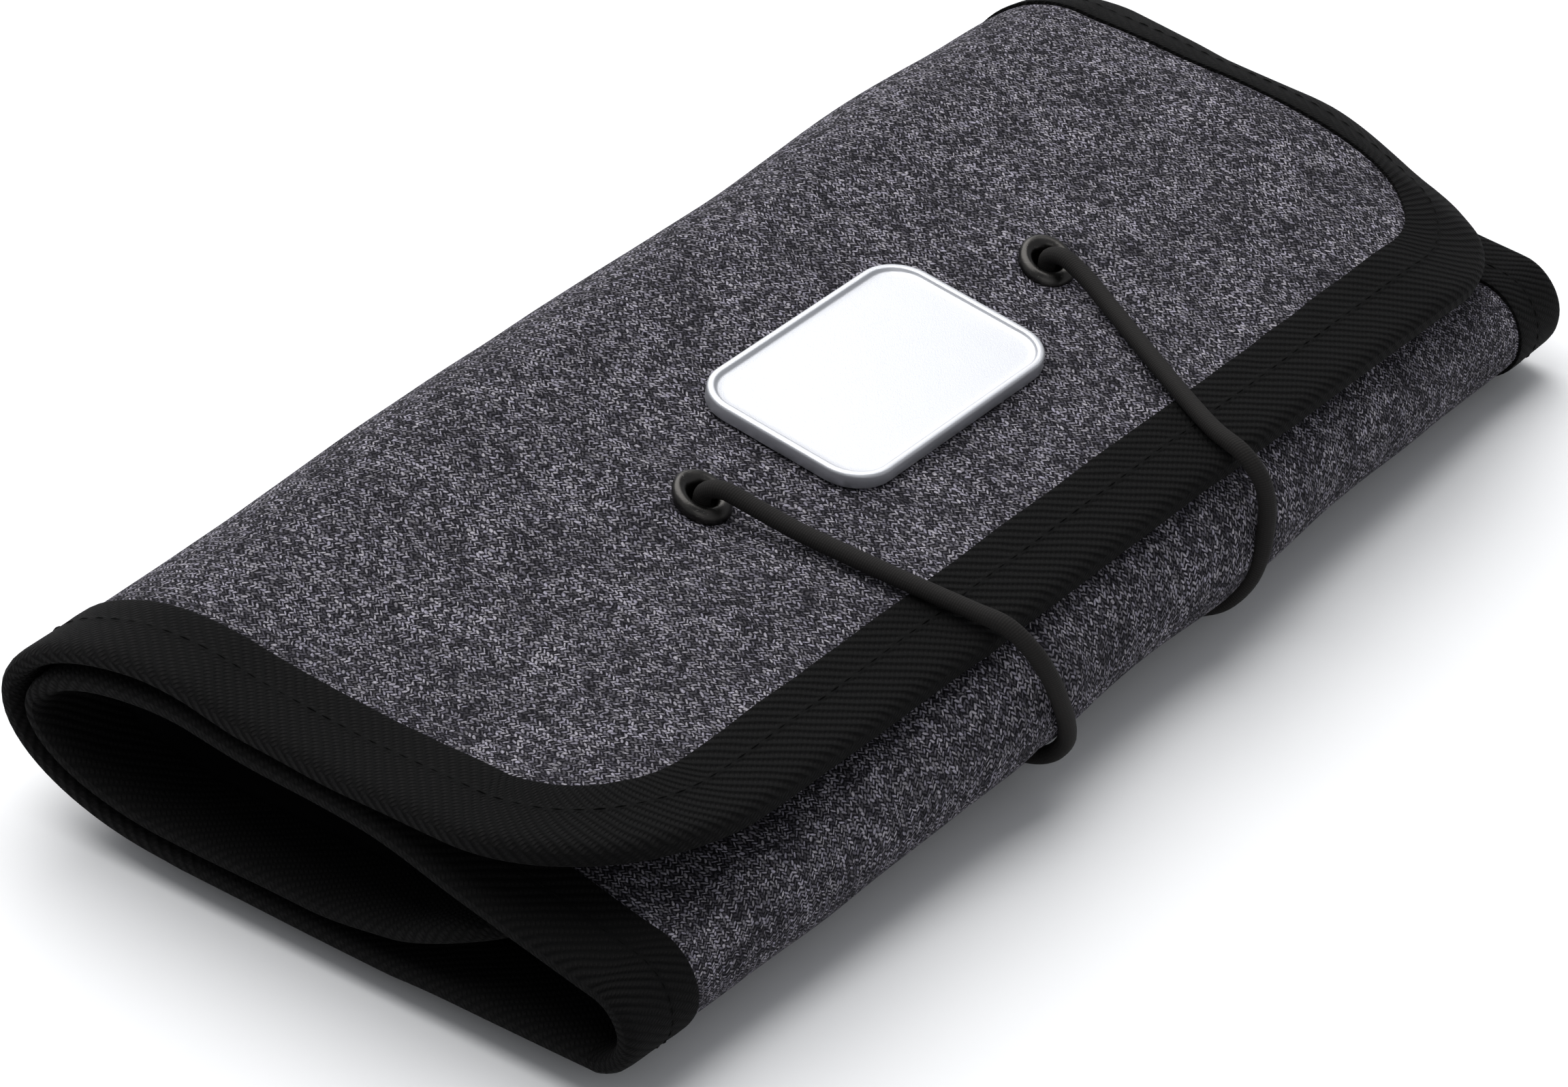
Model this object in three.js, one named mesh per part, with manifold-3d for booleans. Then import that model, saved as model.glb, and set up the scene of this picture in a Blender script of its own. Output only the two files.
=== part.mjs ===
// A folding solar blanket, closed: one long bound fabric sheet, folded in a flat spiral of four panels.
// The flap lies on top, a round back fold leads to the bottom panel, the front fold leads to the middle
// panel, and the inner fold leads to the inner panel. The woven side always faces out of the spiral.
// Millimetres. +X runs along the folds, +Y to the back fold, +Z up. The origin is under the middle.
import * as THREE from 'three';
import { mergeVertices } from 'three/addons/utils/BufferGeometryUtils.js';
import Module from 'manifold-3d';

const wasm = await Module();
wasm.setup();

// ---- driving dimensions -------------------------------------------------------------------------
const LENGTH = 266; // every panel, along the folds
const TAPE = 15.5; // edge binding tape, folded in half over the edge
const SHELL = 1.0; // woven outer fabric
const LINING = 0.8; // black inner fabric
const MODULE = 1.2; // laminated solar module
const GAP = 0.3; // between layers that touch
const STACK = SHELL + GAP + LINING;
const BINDING = STACK + 0.8; // bound edge, all its layers

const BACK = { y: 36, z: 24, r: 24 }; // outer surface of the back fold
const INNER = { y: 36, z: 24, r: 19.2 }; // inner fold, nested in the back fold
const FRONT = { y: -46.5, z: 19, r: 13.5 }; // front fold
const SLOPE = 8; // degrees, the flap falls this much towards the front
const MIDDLE_SLOPE = 8; // degrees, slope of the middle panel at both of its folds
const LIFT_START = -14; // the bottom panel leaves the table in front of this line
const FRONT_BEND = 8; // degrees, slope of the lifted part of the bottom panel
const HINGE_SPLIT = 45; // degrees above and below the middle of the back fold
const SPLIT_GAP = 0.7; // degrees, on each side of a split
const FOLD_GAP = 1; // degrees, between a fold and the panel beside it
const SEAM = 0.8; // clearance where a panel meets a fold at a slight angle

const FLAP_REACH = 90.5; // from the end of the back fold to the flap's front edge
const FLAP_CORNER = 35; // plan radius of the flap's two front corners
const STIFFENER = 0.6; // board between the flap's two fabrics
const FLAP_STACK = SHELL + GAP + STIFFENER + GAP + LINING;

const MODULE_HALF = 106; // half length of a solar module
const MODULE_FRONT = -38; // where a module starts and ends, along Y
const MODULE_BACK = 26;
const MODULE_DEPTH = STACK + GAP; // a module lies on the lining
const LEAD = { x: 66, width: 12, thick: 0.4 };

const BADGE = { x: 54, y: 35.5, z: 2.6, corner: 7.5, rim: 1.5, recess: 0.7, shift: -1.2 };
const FITTING_LINE = -38; // badge and eyelets, from the end of the back fold
const EYELET = { x: 46.2, flange: 4.9, dome: 1.3, hole: 2.35, barrel: 3.0 };
const WASHER = { r: 4.9, thick: 0.5 };
const STOP = { r: 3.4, thick: 2.2 };
const CORD_R = 1.5;

const INNER_FREE = -42; // the inner panel's free edge
const CASE = { x: 98, y: 7, dx: 32, dy: 38, dz: 12.4, wall: 1.2 };
const SOCKET = { dx: 14, dy: 14.6, dz: 7.2, wall: 0.6 };
const KEEPER = { x: 0, y: -41, dx: 18, dy: 16, dz: 0.5 };

// ---- colours ------------------------------------------------------------------------------------
const paint = (color, roughness, metalness) =>
  new THREE.MeshStandardMaterial({ color, roughness, metalness });
const WOVEN = paint(0x46444b, 0.95, 0);
const BLACK_LINING = paint(0x17171a, 0.9, 0);
const BLACK_TAPE = paint(0x161413, 0.85, 0);
const CELLS = paint(0x0d1324, 0.3, 0.1);
const SATIN_ALUMINIUM = paint(0xd9dadc, 0.35, 0.9);
const GUNMETAL = paint(0x3c3a38, 0.35, 0.9);
const ELASTIC = paint(0x232020, 0.8, 0);
const BOARD_GREEN = paint(0x1c4a2c, 0.6, 0);
const CASE_BLACK = paint(0x1b1b1c, 0.5, 0);
const RIBBON = paint(0x33302c, 0.6, 0.2);
const STEEL = paint(0xa8a8aa, 0.3, 1);
const GREY_BOARD = paint(0x55565a, 0.8, 0);

const object = new THREE.Group();
const radians = THREE.MathUtils.degToRad;

function add(name, geometry, material, parent = object) {
  const mesh = new THREE.Mesh(geometry, material);
  mesh.name = name;
  parent.add(mesh);
  return mesh;
}

// ---- section paths, in the Y-Z plane, with the inside of the spiral on their right -----------------
function arc({ y, z, r }, from, to, steps) {
  const points = [];
  for (let i = 0; i <= steps; i += 1) {
    const a = radians(from + ((to - from) * i) / steps);
    points.push(new THREE.Vector2(y + r * Math.cos(a), z + r * Math.sin(a)));
  }
  return points;
}

function offset(points, distance) {
  return points.map((p, i) => {
    const before = points[Math.max(i - 1, 0)];
    const after = points[Math.min(i + 1, points.length - 1)];
    const along = after.clone().sub(before).normalize();
    return new THREE.Vector2(p.x + along.y * distance, p.y - along.x * distance);
  });
}

function pointAt({ y, z, r }, angle) {
  return arc({ y, z, r }, angle, angle, 1)[0];
}

// The part of a path between two values of Y, for a path that runs along Y.
function between(points, yFrom, yTo) {
  const at = (y) => {
    const i = points.findIndex((p, k) => k > 0 && (p.x - y) * (points[k - 1].x - y) <= 0);
    const a = points[i - 1];
    const b = points[i];
    return a.clone().lerp(b, (y - a.x) / (b.x - a.x));
  };
  const low = Math.min(yFrom, yTo);
  const high = Math.max(yFrom, yTo);
  const middle = points.filter((p) => p.x > low + 0.2 && p.x < high - 0.2);
  return [at(yFrom), ...middle, at(yTo)];
}

// A layer of cloth or laminate: the path, from one depth to another under it, along X.
const alongX = new THREE.Matrix4().makeBasis(
  new THREE.Vector3(0, 1, 0),
  new THREE.Vector3(0, 0, 1),
  new THREE.Vector3(1, 0, 0),
);

function layer(path, depthFrom, depthTo, xFrom, xTo) {
  const outline = [...offset(path, depthFrom), ...offset(path, depthTo).reverse()];
  const geometry = new THREE.ExtrudeGeometry(new THREE.Shape(outline), {
    depth: xTo - xFrom,
    bevelEnabled: false,
  });
  geometry.applyMatrix4(alongX);
  geometry.translate(xFrom, 0, 0);
  return geometry;
}

// ---- solids that are cut or joined ---------------------------------------------------------------
function solid(geometry) {
  const bare = geometry.index ? geometry.toNonIndexed() : geometry.clone();
  bare.deleteAttribute('normal');
  bare.deleteAttribute('uv');
  const merged = mergeVertices(bare, 1e-4);
  return new wasm.Manifold(new wasm.Mesh({
    numProp: 3,
    vertProperties: new Float32Array(merged.attributes.position.array),
    triVerts: new Uint32Array(merged.index.array),
  }));
}

function geometryOf(manifold) {
  const mesh = manifold.getMesh();
  const geometry = new THREE.BufferGeometry();
  geometry.setAttribute('position', new THREE.BufferAttribute(mesh.vertProperties, 3));
  geometry.setIndex(new THREE.BufferAttribute(mesh.triVerts, 1));
  geometry.computeVertexNormals();
  return geometry;
}

function block(dx, dy, dz, x, y, z) {
  const geometry = new THREE.BoxGeometry(dx, dy, dz);
  geometry.translate(x, y, z + dz / 2);
  return geometry;
}

// ---- the spiral's paths ----------------------------------------------------------------------------
const flapAngle = 90 + SLOPE; // where the flap leaves the back fold
const middleAngle = 90 + MIDDLE_SLOPE; // where the middle panel meets its folds
const liftAngle = -90 - FRONT_BEND; // where the bottom panel meets the front fold

const backFoldTop = arc(BACK, flapAngle - SPLIT_GAP, HINGE_SPLIT + SPLIT_GAP, 6);
const spinePath = arc(BACK, HINGE_SPLIT - SPLIT_GAP, -HINGE_SPLIT + SPLIT_GAP, 10);
const backFoldBottom = arc(BACK, -HINGE_SPLIT - SPLIT_GAP, -90, 5);
const frontFold = arc(FRONT, liftAngle - FOLD_GAP, middleAngle + FOLD_GAP - 360, 18);
const innerFold = arc(INNER, middleAngle - FOLD_GAP, FOLD_GAP - 90, 18);

const bottomEnd = pointAt(FRONT, liftAngle);
const bottomPanel = [
  ...backFoldBottom,
  new THREE.Vector2(LIFT_START, 0),
  new THREE.Vector2(LIFT_START - 6, 0.35),
  bottomEnd,
];
const middleStart = pointAt(FRONT, middleAngle);
const middleEnd = pointAt(INNER, middleAngle);
const middlePanel = [
  middleStart,
  new THREE.Vector2(-28, 33.2),
  new THREE.Vector2(-8, 34.6),
  new THREE.Vector2(8, 36.6),
  new THREE.Vector2(20, 39.6),
  middleEnd,
];
const innerStart = pointAt(INNER, -90);
const innerPanel = [
  innerStart,
  new THREE.Vector2(LIFT_START, innerStart.y),
  new THREE.Vector2(LIFT_START - 6, innerStart.y + 0.35),
  new THREE.Vector2(INNER_FREE, innerStart.y + 3.6),
];

// Woven shell, lining and the bound ends of one stretch of the spiral.
const END = LENGTH / 2;
const CLOTH_END = END - TAPE - GAP;

function clothStretch(name, path) {
  add(`${name}_shell`, layer(path, 0, SHELL, -CLOTH_END, CLOTH_END), WOVEN);
  add(`${name}_lining`, layer(path, SHELL + GAP, STACK, -CLOTH_END, CLOTH_END), BLACK_LINING);
  add(`${name}_binding_left`, layer(path, 0, BINDING, -END, -END + TAPE), BLACK_TAPE);
  add(`${name}_binding_right`, layer(path, 0, BINDING, END - TAPE, END), BLACK_TAPE);
}

function solarModule(name, path, xTo = MODULE_HALF) {
  add(
    `${name}_solar_module`,
    layer(path, MODULE_DEPTH, MODULE_DEPTH + MODULE, -MODULE_HALF, xTo),
    CELLS,
  );
}

// ---- base: bottom, middle and inner panels ---------------------------------------------------------
const bottomCloth = [
  ...backFoldBottom,
  ...between(bottomPanel.slice(backFoldBottom.length - 1), BACK.y - 1, bottomEnd.x + SEAM),
];
const middleCloth = between(middlePanel, middleStart.x + SEAM, middleEnd.x - SEAM);
clothStretch('bottom', bottomCloth);
clothStretch('front_fold', frontFold);
clothStretch('middle', middleCloth);
clothStretch('inner_fold', innerFold);

const innerCloth = between(innerPanel, innerStart.x - 0.4, INNER_FREE + TAPE + GAP);
const innerFreeEdge = between(innerPanel, INNER_FREE + TAPE, INNER_FREE);
clothStretch('inner', innerCloth);
add('inner_binding_front', layer(innerFreeEdge, 0, BINDING, -END, END), BLACK_TAPE);

const caseLeft = CASE.x - CASE.dx / 2;
solarModule('bottom', between(bottomPanel, MODULE_BACK, MODULE_FRONT));
solarModule('middle', between(middlePanel, MODULE_FRONT, MODULE_BACK));
solarModule('inner', between(innerPanel, MODULE_BACK, INNER_FREE + TAPE + 1), caseLeft - 2);

// Ribbon leads from module to module, round the inside of a fold.
function ribbonLead(name, path) {
  const half = LEAD.width / 2;
  add(
    name,
    layer(path, MODULE_DEPTH, MODULE_DEPTH + LEAD.thick, LEAD.x - half, LEAD.x + half),
    RIBBON,
  );
}

ribbonLead('front_lead', [
  ...between(bottomPanel, MODULE_FRONT - 1, -45),
  ...frontFold.slice(1, -1),
  ...between(middlePanel, -45, MODULE_FRONT - 1),
]);
ribbonLead('inner_lead', [
  ...between(middlePanel, MODULE_BACK + 1, 30),
  ...innerFold.slice(1, -1),
  ...between(innerPanel, 33, MODULE_BACK + 1),
]);

// ---- regulator: a small case with a socket, on the inner panel's lining -----------------------------
const caseFloor = innerStart.y + STACK + GAP;
const splitHeight = CASE.dz * 0.55;
const socketFloor = caseFloor + CASE.wall + 1.6;
const caseRight = CASE.x + CASE.dx / 2;
const socketX = caseRight - SOCKET.dx / 2;
const socketCut = solid(block(
  SOCKET.dx + 4, SOCKET.dy + 2 * GAP, SOCKET.dz + 2 * GAP, socketX + 2, CASE.y, socketFloor - GAP));

function caseHalf(height, floorAt, z) {
  const shell = solid(block(CASE.dx, CASE.dy, height, CASE.x, CASE.y, z));
  const hollow = solid(block(
    CASE.dx - 2 * CASE.wall, CASE.dy - 2 * CASE.wall, height, CASE.x, CASE.y, z + floorAt));
  return geometryOf(shell.subtract(hollow).subtract(socketCut));
}

add('regulator_case_lower', caseHalf(splitHeight, CASE.wall, caseFloor), CASE_BLACK);
const upperHeight = CASE.dz - splitHeight - GAP;
add('regulator_case_upper',
  caseHalf(upperHeight, -CASE.wall, caseFloor + splitHeight + GAP), CASE_BLACK);
add('regulator_board',
  block(CASE.dx - 2 * CASE.wall - 1, CASE.dy - 2 * CASE.wall - 1, 0.9,
    CASE.x, CASE.y, caseFloor + CASE.wall + GAP), BOARD_GREEN);

const socketBody = solid(block(SOCKET.dx, SOCKET.dy, SOCKET.dz, socketX, CASE.y, socketFloor));
const socketMouth = solid(block(
  SOCKET.dx, SOCKET.dy - 2 * SOCKET.wall, SOCKET.dz - 2 * SOCKET.wall,
  socketX + SOCKET.wall, CASE.y, socketFloor + SOCKET.wall));
add('usb_socket', geometryOf(socketBody.subtract(socketMouth)), STEEL);

// ---- back spine and the strip that carries the flap -------------------------------------------------
clothStretch('back_spine', spinePath);
clothStretch('flap_fold', backFoldTop);

// ---- flap: drawn flat, in a group turned to the flap's slope -----------------------------------------
const flapStart = pointAt(BACK, flapAngle);
const flap = new THREE.Group();
flap.position.set(0, flapStart.x, flapStart.y);
flap.rotation.x = radians(SLOPE);
object.add(flap);

// The flap's edge line, from its back left end round the front to its back right end.
function flapEdge(half, back, reach, corner) {
  const edge = new THREE.Path();
  edge.moveTo(-half, back);
  edge.lineTo(-half, -reach + corner);
  edge.absarc(-half + corner, -reach + corner, corner, Math.PI, 1.5 * Math.PI, false);
  edge.lineTo(half - corner, -reach);
  edge.absarc(half - corner, -reach + corner, corner, 1.5 * Math.PI, 2 * Math.PI, false);
  edge.lineTo(half, back);
  return edge.getPoints(10);
}

function pierce(outline, radius) {
  for (const side of [-1, 1]) {
    const hole = new THREE.Path();
    hole.absarc(side * EYELET.x, FITTING_LINE, radius, 0, 2 * Math.PI, true);
    outline.holes.push(hole);
  }
  return outline;
}

function slab(outline, zLow, zHigh, curveSegments = 10) {
  const geometry = new THREE.ExtrudeGeometry(outline, {
    depth: zHigh - zLow,
    bevelEnabled: false,
    curveSegments,
  });
  geometry.translate(0, 0, zLow);
  return geometry;
}

const clothReach = FLAP_REACH - TAPE - GAP;
const clothCorner = FLAP_CORNER - TAPE - GAP;
const pierceRadius = EYELET.barrel + GAP;
const clothEdge = flapEdge(CLOTH_END, -GAP, clothReach, clothCorner);
const boardEdge = flapEdge(CLOTH_END - 6, -8, clothReach - 5, clothCorner - 4);
const clothPlan = pierce(new THREE.Shape(clothEdge), pierceRadius);
const boardPlan = pierce(new THREE.Shape(boardEdge), pierceRadius);
const boardTop = -SHELL - GAP;
add('flap_shell', slab(clothPlan, -SHELL, 0), WOVEN, flap);
add('flap_stiffener', slab(boardPlan, boardTop - STIFFENER, boardTop), GREY_BOARD, flap);
add('flap_lining', slab(clothPlan, -FLAP_STACK, -FLAP_STACK + LINING), BLACK_LINING, flap);

const bindingPlan = new THREE.Shape([
  ...flapEdge(END, -GAP, FLAP_REACH, FLAP_CORNER),
  ...flapEdge(END - TAPE, -GAP, FLAP_REACH - TAPE, FLAP_CORNER - TAPE).reverse(),
]);
add('flap_binding', slab(bindingPlan, -FLAP_STACK - GAP, 0), BLACK_TAPE, flap);

// ---- badge: a shallow tray with a raised rim -----------------------------------------------------------
function roundedRectangle(dx, dy, corner) {
  const x = dx / 2;
  const y = dy / 2;
  const outline = new THREE.Shape();
  outline.moveTo(x, -y + corner);
  outline.absarc(x - corner, y - corner, corner, 0, 0.5 * Math.PI, false);
  outline.absarc(-x + corner, y - corner, corner, 0.5 * Math.PI, Math.PI, false);
  outline.absarc(-x + corner, -y + corner, corner, Math.PI, 1.5 * Math.PI, false);
  outline.absarc(x - corner, -y + corner, corner, 1.5 * Math.PI, 2 * Math.PI, false);
  return outline;
}

const badgePlan = roundedRectangle(BADGE.x, BADGE.y, BADGE.corner);
const inside = 2 * BADGE.rim;
const floorPlan = roundedRectangle(BADGE.x - inside, BADGE.y - inside, BADGE.corner - BADGE.rim);
const plate = solid(slab(badgePlan, 0, BADGE.z, 8));
const recess = solid(slab(floorPlan, BADGE.z - BADGE.recess, BADGE.z + 1, 8));
const badge = add('badge', geometryOf(plate.subtract(recess)), SATIN_ALUMINIUM, flap);
badge.position.set(BADGE.shift, FITTING_LINE, GAP);

// ---- eyelets, washers and cord stops ---------------------------------------------------------------------
function ring(points, segments = 28) {
  const geometry = new THREE.LatheGeometry(
    [...points, points[0]].map(([r, z]) => new THREE.Vector2(r, z)), segments);
  geometry.rotateX(Math.PI / 2);
  return geometry;
}

function eyelet() {
  const { hole, barrel, flange, dome } = EYELET;
  return ring([
    [hole, -FLAP_STACK - GAP - WASHER.thick],
    [barrel, -FLAP_STACK - GAP - WASHER.thick],
    [barrel, GAP],
    [flange, GAP],
    [flange - 0.1, GAP + dome * 0.45],
    [flange - 0.7, GAP + dome * 0.85],
    [(hole + flange) / 2, GAP + dome],
    [hole + 0.6, GAP + dome * 0.85],
    [hole + 0.1, GAP + dome * 0.4],
  ]);
}

for (const [side, x] of [['left', -EYELET.x], ['right', EYELET.x]]) {
  const metal = add(`eyelet_${side}`, eyelet(), GUNMETAL, flap);
  metal.position.set(x, FITTING_LINE, 0);
  const washerTop = -FLAP_STACK - GAP;
  const washer = add(`eyelet_washer_${side}`, ring([
    [EYELET.barrel + GAP, washerTop - WASHER.thick],
    [WASHER.r, washerTop - WASHER.thick],
    [WASHER.r, washerTop],
    [EYELET.barrel + GAP, washerTop],
  ]), GUNMETAL, flap);
  washer.position.set(x, FITTING_LINE, 0);
  const stop = new THREE.CylinderGeometry(STOP.r, STOP.r * 0.8, STOP.thick, 20);
  stop.rotateX(Math.PI / 2);
  const stopMesh = add(`cord_stop_${side}`, stop, CASE_BLACK, flap);
  stopMesh.position.set(x, FITTING_LINE, washerTop - WASHER.thick - GAP - STOP.thick / 2);
}

// ---- elastic cord: one loop, out of one eyelet, round the front, under the bottom and back ---------------
const CORD_ROUTE = [
  [-46.2, -4.4, 38.9],
  [-46.2, -4.8, 41.6],
  [-46.1, -5.4, 44.0],
  [-45.7, -8.4, 45.4],
  [-44.9, -13.5, 44.3],
  [-43.7, -22.0, 42.3],
  [-40.5, -44.0, 39.1],
  [-39.3, -52.5, 38.1],
  [-38.3, -58.2, 37.2],
  [-37.0, -62.0, 33.9],
  [-34.9, -64.0, 29.0],
  [-32.1, -64.4, 23.0],
  [-29.3, -64.0, 17.2],
  [-27.0, -62.6, 11.6],
  [-25.8, -59.0, 6.8],
  [-25.2, -54.0, 4.2],
  [-24.3, -48.9, 3.3],
  [-21.7, -44.5, 2.8],
  [-17.2, -42.2, 2.4],
  [0.0, -41.5, 2.3],
  [17.2, -42.2, 2.4],
  [21.7, -44.5, 2.8],
  [24.3, -48.4, 3.7],
  [25.2, -52.6, 5.0],
  [25.8, -57.0, 7.8],
  [26.8, -60.4, 12.6],
  [27.6, -61.9, 17.6],
  [27.8, -62.5, 23.0],
  [27.2, -62.7, 29.0],
  [26.1, -61.6, 33.9],
  [25.7, -58.2, 37.2],
  [26.9, -52.5, 38.1],
  [30.6, -44.0, 39.1],
  [41.2, -22.0, 42.3],
  [44.6, -13.5, 44.3],
  [45.7, -8.4, 45.4],
  [46.1, -5.4, 44.0],
  [46.2, -4.8, 41.6],
  [46.2, -4.4, 38.9],
];
const route = new THREE.CatmullRomCurve3(
  CORD_ROUTE.map(([x, y, z]) => new THREE.Vector3(x, y, z)), false, 'centripetal');
const cordSection = new THREE.Shape();
cordSection.absarc(0, 0, CORD_R, 0, 2 * Math.PI, false);
add('elastic_cord', new THREE.ExtrudeGeometry(cordSection, {
  extrudePath: route,
  steps: 76,
  curveSegments: 8,
  bevelEnabled: false,
}), ELASTIC);

// A flat tab of tape under the bottom panel, which the loop hooks under.
add('loop_keeper', block(KEEPER.dx, KEEPER.dy, KEEPER.dz, KEEPER.x, KEEPER.y, 0), BLACK_TAPE);

export default object;
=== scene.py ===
"""A folding solar blanket, closed: cloth, tape, elastic and fittings round the CAD frame.

Lengths are in millimetres in the tables below, and metres once they reach Blender.
X runs along the folds, Y to the back fold, Z up, as in the CAD frame.
The cloth is drawn flat, at (x, s): s is the distance from the flap's front edge along the spiral of
panels. place() carries any flat point to its place on the folded blanket.
"""
import math

import bpy
import numpy as np
from mathutils import Matrix, Vector, noise


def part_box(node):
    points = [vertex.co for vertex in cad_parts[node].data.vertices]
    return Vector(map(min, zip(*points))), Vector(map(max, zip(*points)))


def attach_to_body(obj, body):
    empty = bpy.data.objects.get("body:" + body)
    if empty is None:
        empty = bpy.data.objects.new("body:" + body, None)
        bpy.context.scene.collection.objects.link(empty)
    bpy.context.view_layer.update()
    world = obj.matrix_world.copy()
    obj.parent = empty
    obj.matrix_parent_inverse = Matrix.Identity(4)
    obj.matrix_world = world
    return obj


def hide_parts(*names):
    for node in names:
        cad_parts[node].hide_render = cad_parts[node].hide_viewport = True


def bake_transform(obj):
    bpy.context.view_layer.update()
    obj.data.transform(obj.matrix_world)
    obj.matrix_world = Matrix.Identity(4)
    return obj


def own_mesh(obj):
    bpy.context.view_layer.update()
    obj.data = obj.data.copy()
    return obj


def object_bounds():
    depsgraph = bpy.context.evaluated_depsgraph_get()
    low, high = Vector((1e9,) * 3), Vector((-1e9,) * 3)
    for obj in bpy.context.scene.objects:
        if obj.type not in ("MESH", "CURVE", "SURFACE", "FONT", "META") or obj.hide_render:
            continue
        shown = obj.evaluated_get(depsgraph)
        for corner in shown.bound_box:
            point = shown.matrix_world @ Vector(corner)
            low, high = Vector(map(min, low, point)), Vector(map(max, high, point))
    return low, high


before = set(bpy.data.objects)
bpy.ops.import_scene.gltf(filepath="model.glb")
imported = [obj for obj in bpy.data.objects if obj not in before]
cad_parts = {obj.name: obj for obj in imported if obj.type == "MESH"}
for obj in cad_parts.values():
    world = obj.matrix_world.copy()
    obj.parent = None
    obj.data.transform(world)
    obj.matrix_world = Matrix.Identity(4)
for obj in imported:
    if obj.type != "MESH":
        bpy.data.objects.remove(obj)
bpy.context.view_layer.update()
MM = 0.001

# ---- driving dimensions, mm ----------------------
HALF = round(-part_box("bottom_binding_left")[0][0] / MM, 3)  # half the length of every panel
TAPE = 15.5
FLAP_CORNER = 35.0
INNER_CORNER = 24.0
FLAP_SLOPE = math.radians(8)
FLAP_TOP = (32.66, 47.77)  # where the flap leaves the back fold, Y and Z at the middle
FITTING_LINE = 38.0  # badge and eyelets, from FLAP_TOP
SHELL = 1.0
SHEET = 2.3  # shell and lining together
FLAP_SHEET = 3.0
TAPE_THICK = 0.7
STITCH_INSET = 6.0  # from the tape's inner border
CORD_D = 3.0
FITTING_S = 52.5  # badge and eyelets on the flat cloth, from the flap's front edge
EYELET_X = 46.2
EYELET_TILT = 0.32  # slope of the rings towards the pull
EYELET_PULLS = ((-EYELET_X, 0.15), (EYELET_X, -0.37))  # X, and the X part of the elastic's pull

# Flat lengths of the stretches, from the flap's front edge to the inner panel's free edge.
STRETCHES = (
    ("flap", 90.5, 28),
    ("back", 78.8, 52),
    ("bottom", 86.0, 26),
    ("front", 39.0, 30),
    ("middle", 84.5, 30),
    ("inner_fold", 63.0, 40),
    ("inner", 78.5, 24),
)
EDGES = [0.0]
for _, flat_length, _ in STRETCHES:
    EDGES.append(EDGES[-1] + flat_length)
FLAT_LENGTH = EDGES[-1]
SPINE_MIDDLE = EDGES[1] + 41.0
BASE_START = EDGES[2] + 6.0

# ---- how the folded section changes along X ------
STATIONS = (-133, -116, -90, -45, 0, 45, 90, 116, 124, 133)
SECTION = {
    "back_y": (30, 31.5, 34, 36, 36, 36.5, 39, 40.5, 40, 38),
    "back_reach": (64, 63.5, 62, 60.5, 60, 61, 63, 63.5, 63, 61.5),
    "back_top": (39.3, 40.2, 43, 47, 48, 48, 46.6, 44.8, 42.8, 39),
    "back_low": (5, 3.2, 1.2, 0.1, 0, 0, 0.1, 0.5, 1.0, 1.8),
    "front_y": (-52, -51.8, -51, -49, -47, -46.2, -46, -46, -46, -46),
    "front_top": (22, 23, 26, 31.3, 32.4, 31.8, 27, 22.4, 21, 20),
    "front_low": (6.2, 5.6, 5, 5.5, 5.5, 5.5, 4.4, 3.6, 3.4, 3.3),
    "nest": (4.6, 4.7, 4.8, 4.8, 4.8, 4.8, 4.8, 4.7, 4.6, 4.6),
    "middle_front": (27.4, 28, 29.8, 32.6, 33.1, 32.8, 29, 25.4, 23.4, 21.4),
    "middle_centre": (31.6, 32, 33, 34.4, 34.6, 34.6, 33.4, 31, 29.4, 27.6),
    "middle_back": (32.8, 33.5, 35, 37.5, 37.9, 37.9, 37, 35, 33.2, 30.8),
    "flap_edge": (-56, -56, -57, -57, -57, -57, -55.6, -53, -51.6, -50),
    "droop_back": (-7.2, -6.4, -4, -0.8, 0, 0, -0.6, -1.6, -3.6, -8.6),
    "droop_centre": (-5.2, -4.6, -3, -0.6, 0, 0, 0, -0.5, -2.6, -7.2),
    "droop_front": (-1.4, -0.6, 0, 0, 0, 0, -0.8, -3.4, -7, -13),
    "droop_edge": (1.4, 1.2, 0.6, 0, 0, 0, -2.6, -8.4, -12, -17),
    "free_rise": (10, 8.5, 5, 0, 0, 0, 0, 0, 0, 0),
}

# ---- the elastic's route, as in the CAD part -----
CORD_ROUTE = (
    (-46.2, -4.4, 38.9), (-46.2, -4.8, 41.6), (-46.1, -5.4, 44.0),
    (-45.7, -8.4, 45.4), (-44.9, -13.5, 44.3), (-43.7, -22.0, 42.3),
    (-40.5, -44.0, 39.1), (-39.3, -52.5, 38.1), (-38.3, -58.2, 37.2),
    (-37.0, -62.0, 33.9), (-34.9, -64.0, 29.0), (-32.1, -64.4, 23.0),
    (-29.3, -64.0, 17.2), (-27.0, -62.6, 11.6), (-25.8, -59.0, 6.8),
    (-25.2, -54.0, 4.2), (-24.3, -48.9, 3.3), (-21.7, -44.5, 2.8),
    (-17.2, -42.2, 2.4), (0.0, -41.5, 2.3), (17.2, -42.2, 2.4),
    (21.7, -44.5, 2.8), (24.3, -48.4, 3.7), (25.2, -52.6, 5.0),
    (25.8, -57.0, 7.8), (26.8, -60.4, 12.6), (27.6, -61.9, 17.6),
    (27.8, -62.5, 23.0), (27.2, -62.7, 29.0), (26.1, -61.6, 33.9),
    (25.7, -58.2, 37.2), (26.9, -52.5, 38.1), (30.6, -44.0, 39.1),
    (41.2, -22.0, 42.3), (44.6, -13.5, 44.3), (45.7, -8.4, 45.4),
    (46.1, -5.4, 44.0), (46.2, -4.8, 41.6), (46.2, -4.4, 38.9),
)


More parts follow.
